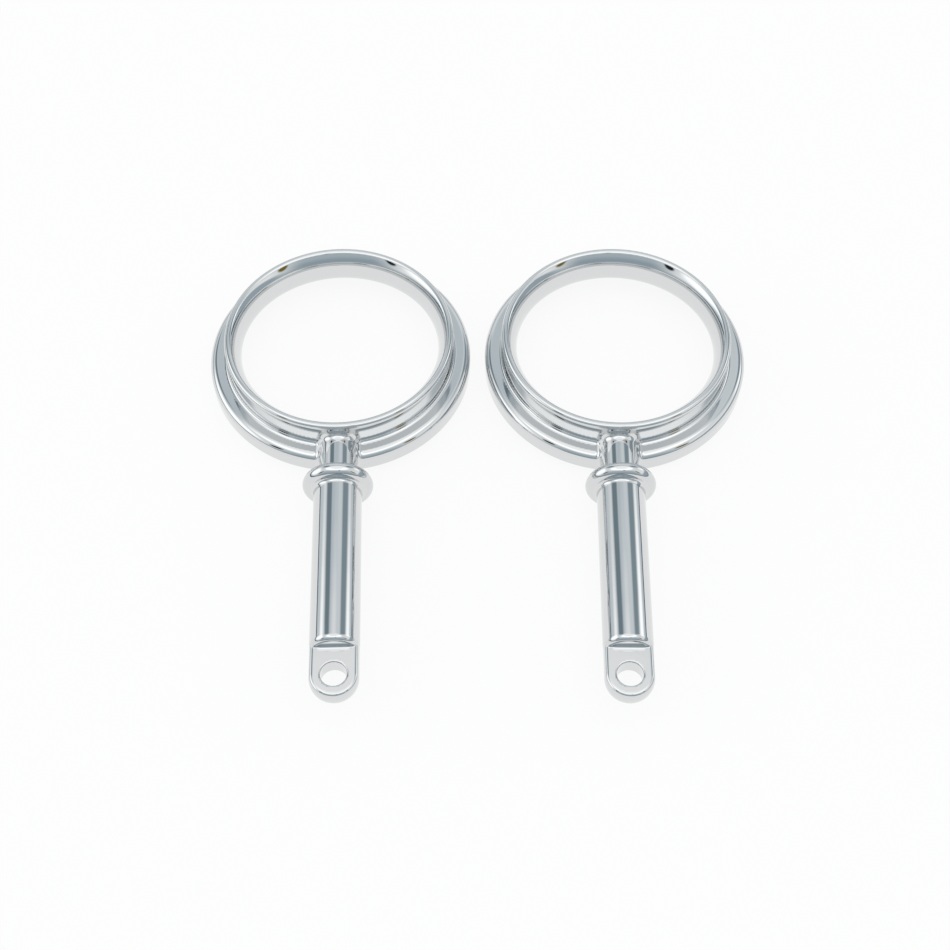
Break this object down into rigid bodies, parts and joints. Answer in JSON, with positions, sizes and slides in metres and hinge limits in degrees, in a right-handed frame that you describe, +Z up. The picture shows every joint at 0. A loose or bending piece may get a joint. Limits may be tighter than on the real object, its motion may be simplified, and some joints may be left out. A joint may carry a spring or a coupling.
{
  "type": "rowlock pair",
  "caption": "Closed-ring rowlocks for rowing oars: a flanged ring on a collared shank that ends in a flat tongue with a keeper hole.",
  "frame": {"origin": "middle of the surface the castings lie on, below the centre of their bounding box", "axes": "+Z up from the surface, +X from the left casting to the right one, +Y from the shanks towards the rings"},
  "size_m": [0.1472, 0.1423, 0.0186],
  "materials": {
    "chrome": "bright chrome plate on a zinc casting, slightly wavy"
  },
  "bodies": {
    "left_rowlock": {"rowlock_left": "chrome"},
    "right_rowlock": {"rowlock_right": "chrome"}
  },
  "joints": [
    {"name": "right_lift", "type": "slide", "parent": "left_rowlock", "child": "right_rowlock", "axis": [0, 0, 1], "range_m": [0, 0.03]}
  ]
}
